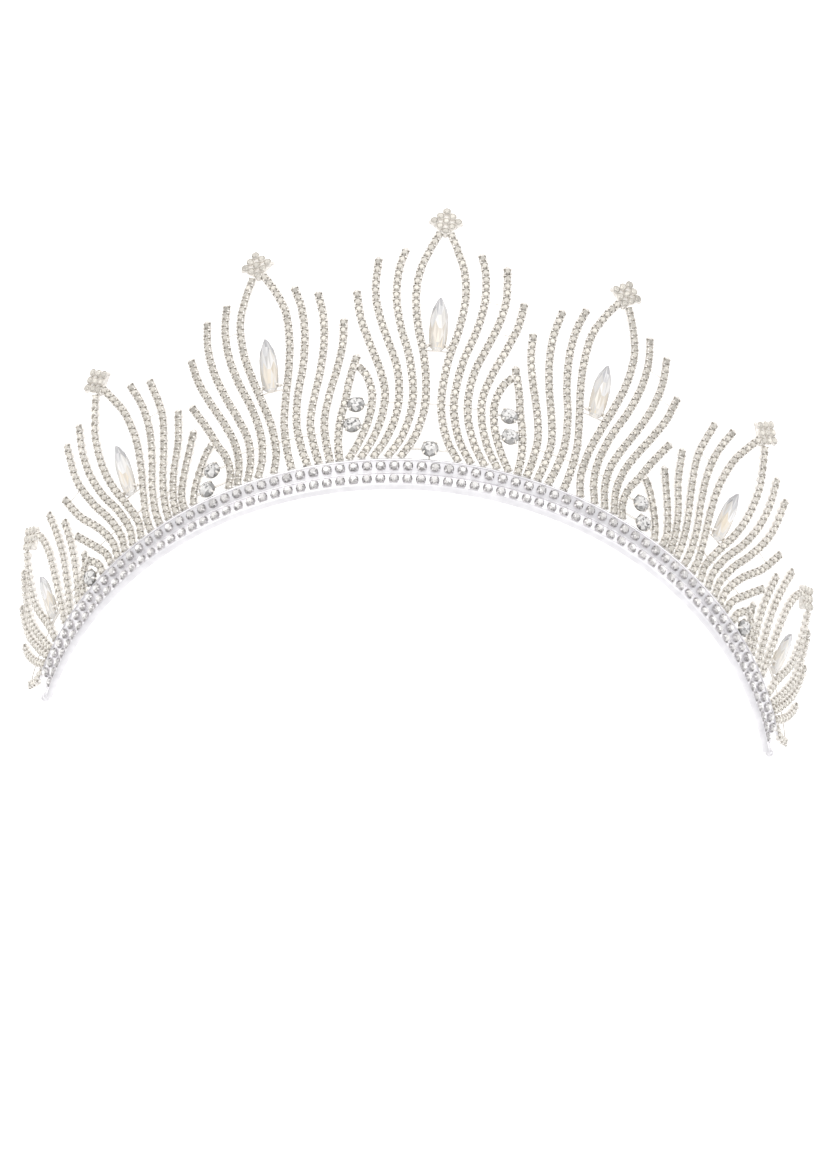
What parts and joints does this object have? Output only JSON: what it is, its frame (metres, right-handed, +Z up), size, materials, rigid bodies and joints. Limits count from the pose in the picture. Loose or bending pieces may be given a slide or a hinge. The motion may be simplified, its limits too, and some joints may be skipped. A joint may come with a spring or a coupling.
{
  "type": "tiara headband",
  "caption": "Tiara headband with plumes of rhinestone cup chain, marquise and round stones on a flared band, lying face up on three of its crests.",
  "frame": {"origin": "centre of the footprint, on the surface that the crests of the centre plume and the end plumes lie on", "axes": "+X along the wearer's left-to-right width, +Y towards the front plume, +Z up from the surface; the band's plane leans 15 degrees from level and its lower edge is on top"},
  "size_m": [0.1574, 0.0962, 0.0437],
  "materials": {
    "band_metal": "polished silver plating",
    "chain": "bright silver cup chain",
    "small_stone": "clear cut glass, foiled back",
    "marquise_stone": "clear cut glass, warm tint",
    "round_stone": "clear cut glass, foiled back"
  },
  "bodies": {
    "root": {"band": "band_metal", "band_stones_upper": "small_stone", "band_stones_lower": "small_stone", "plume_center": "chain", "plume_left_1": "chain", "plume_right_1": "chain", "plume_left_2": "chain", "plume_right_2": "chain", "plume_left_3": "chain", "plume_right_3": "chain", "loop_left_1": "chain", "loop_right_1": "chain", "loop_left_2": "chain", "loop_right_2": "chain", "loop_left_3": "chain", "loop_right_3": "chain", "marquise_center": "marquise_stone", "marquise_left_1": "marquise_stone", "marquise_right_1": "marquise_stone", "marquise_left_2": "marquise_stone", "marquise_right_2": "marquise_stone", "marquise_left_3": "marquise_stone", "marquise_right_3": "marquise_stone", "round_center": "round_stone", "round_left_1_upper": "round_stone", "round_left_1_lower": "round_stone", "round_right_1_upper": "round_stone", "round_right_1_lower": "round_stone", "round_left_2_upper": "round_stone", "round_left_2_lower": "round_stone", "round_right_2_upper": "round_stone", "round_right_2_lower": "round_stone", "round_left_3": "round_stone", "round_right_3": "round_stone"}
  },
  "joints": []
}
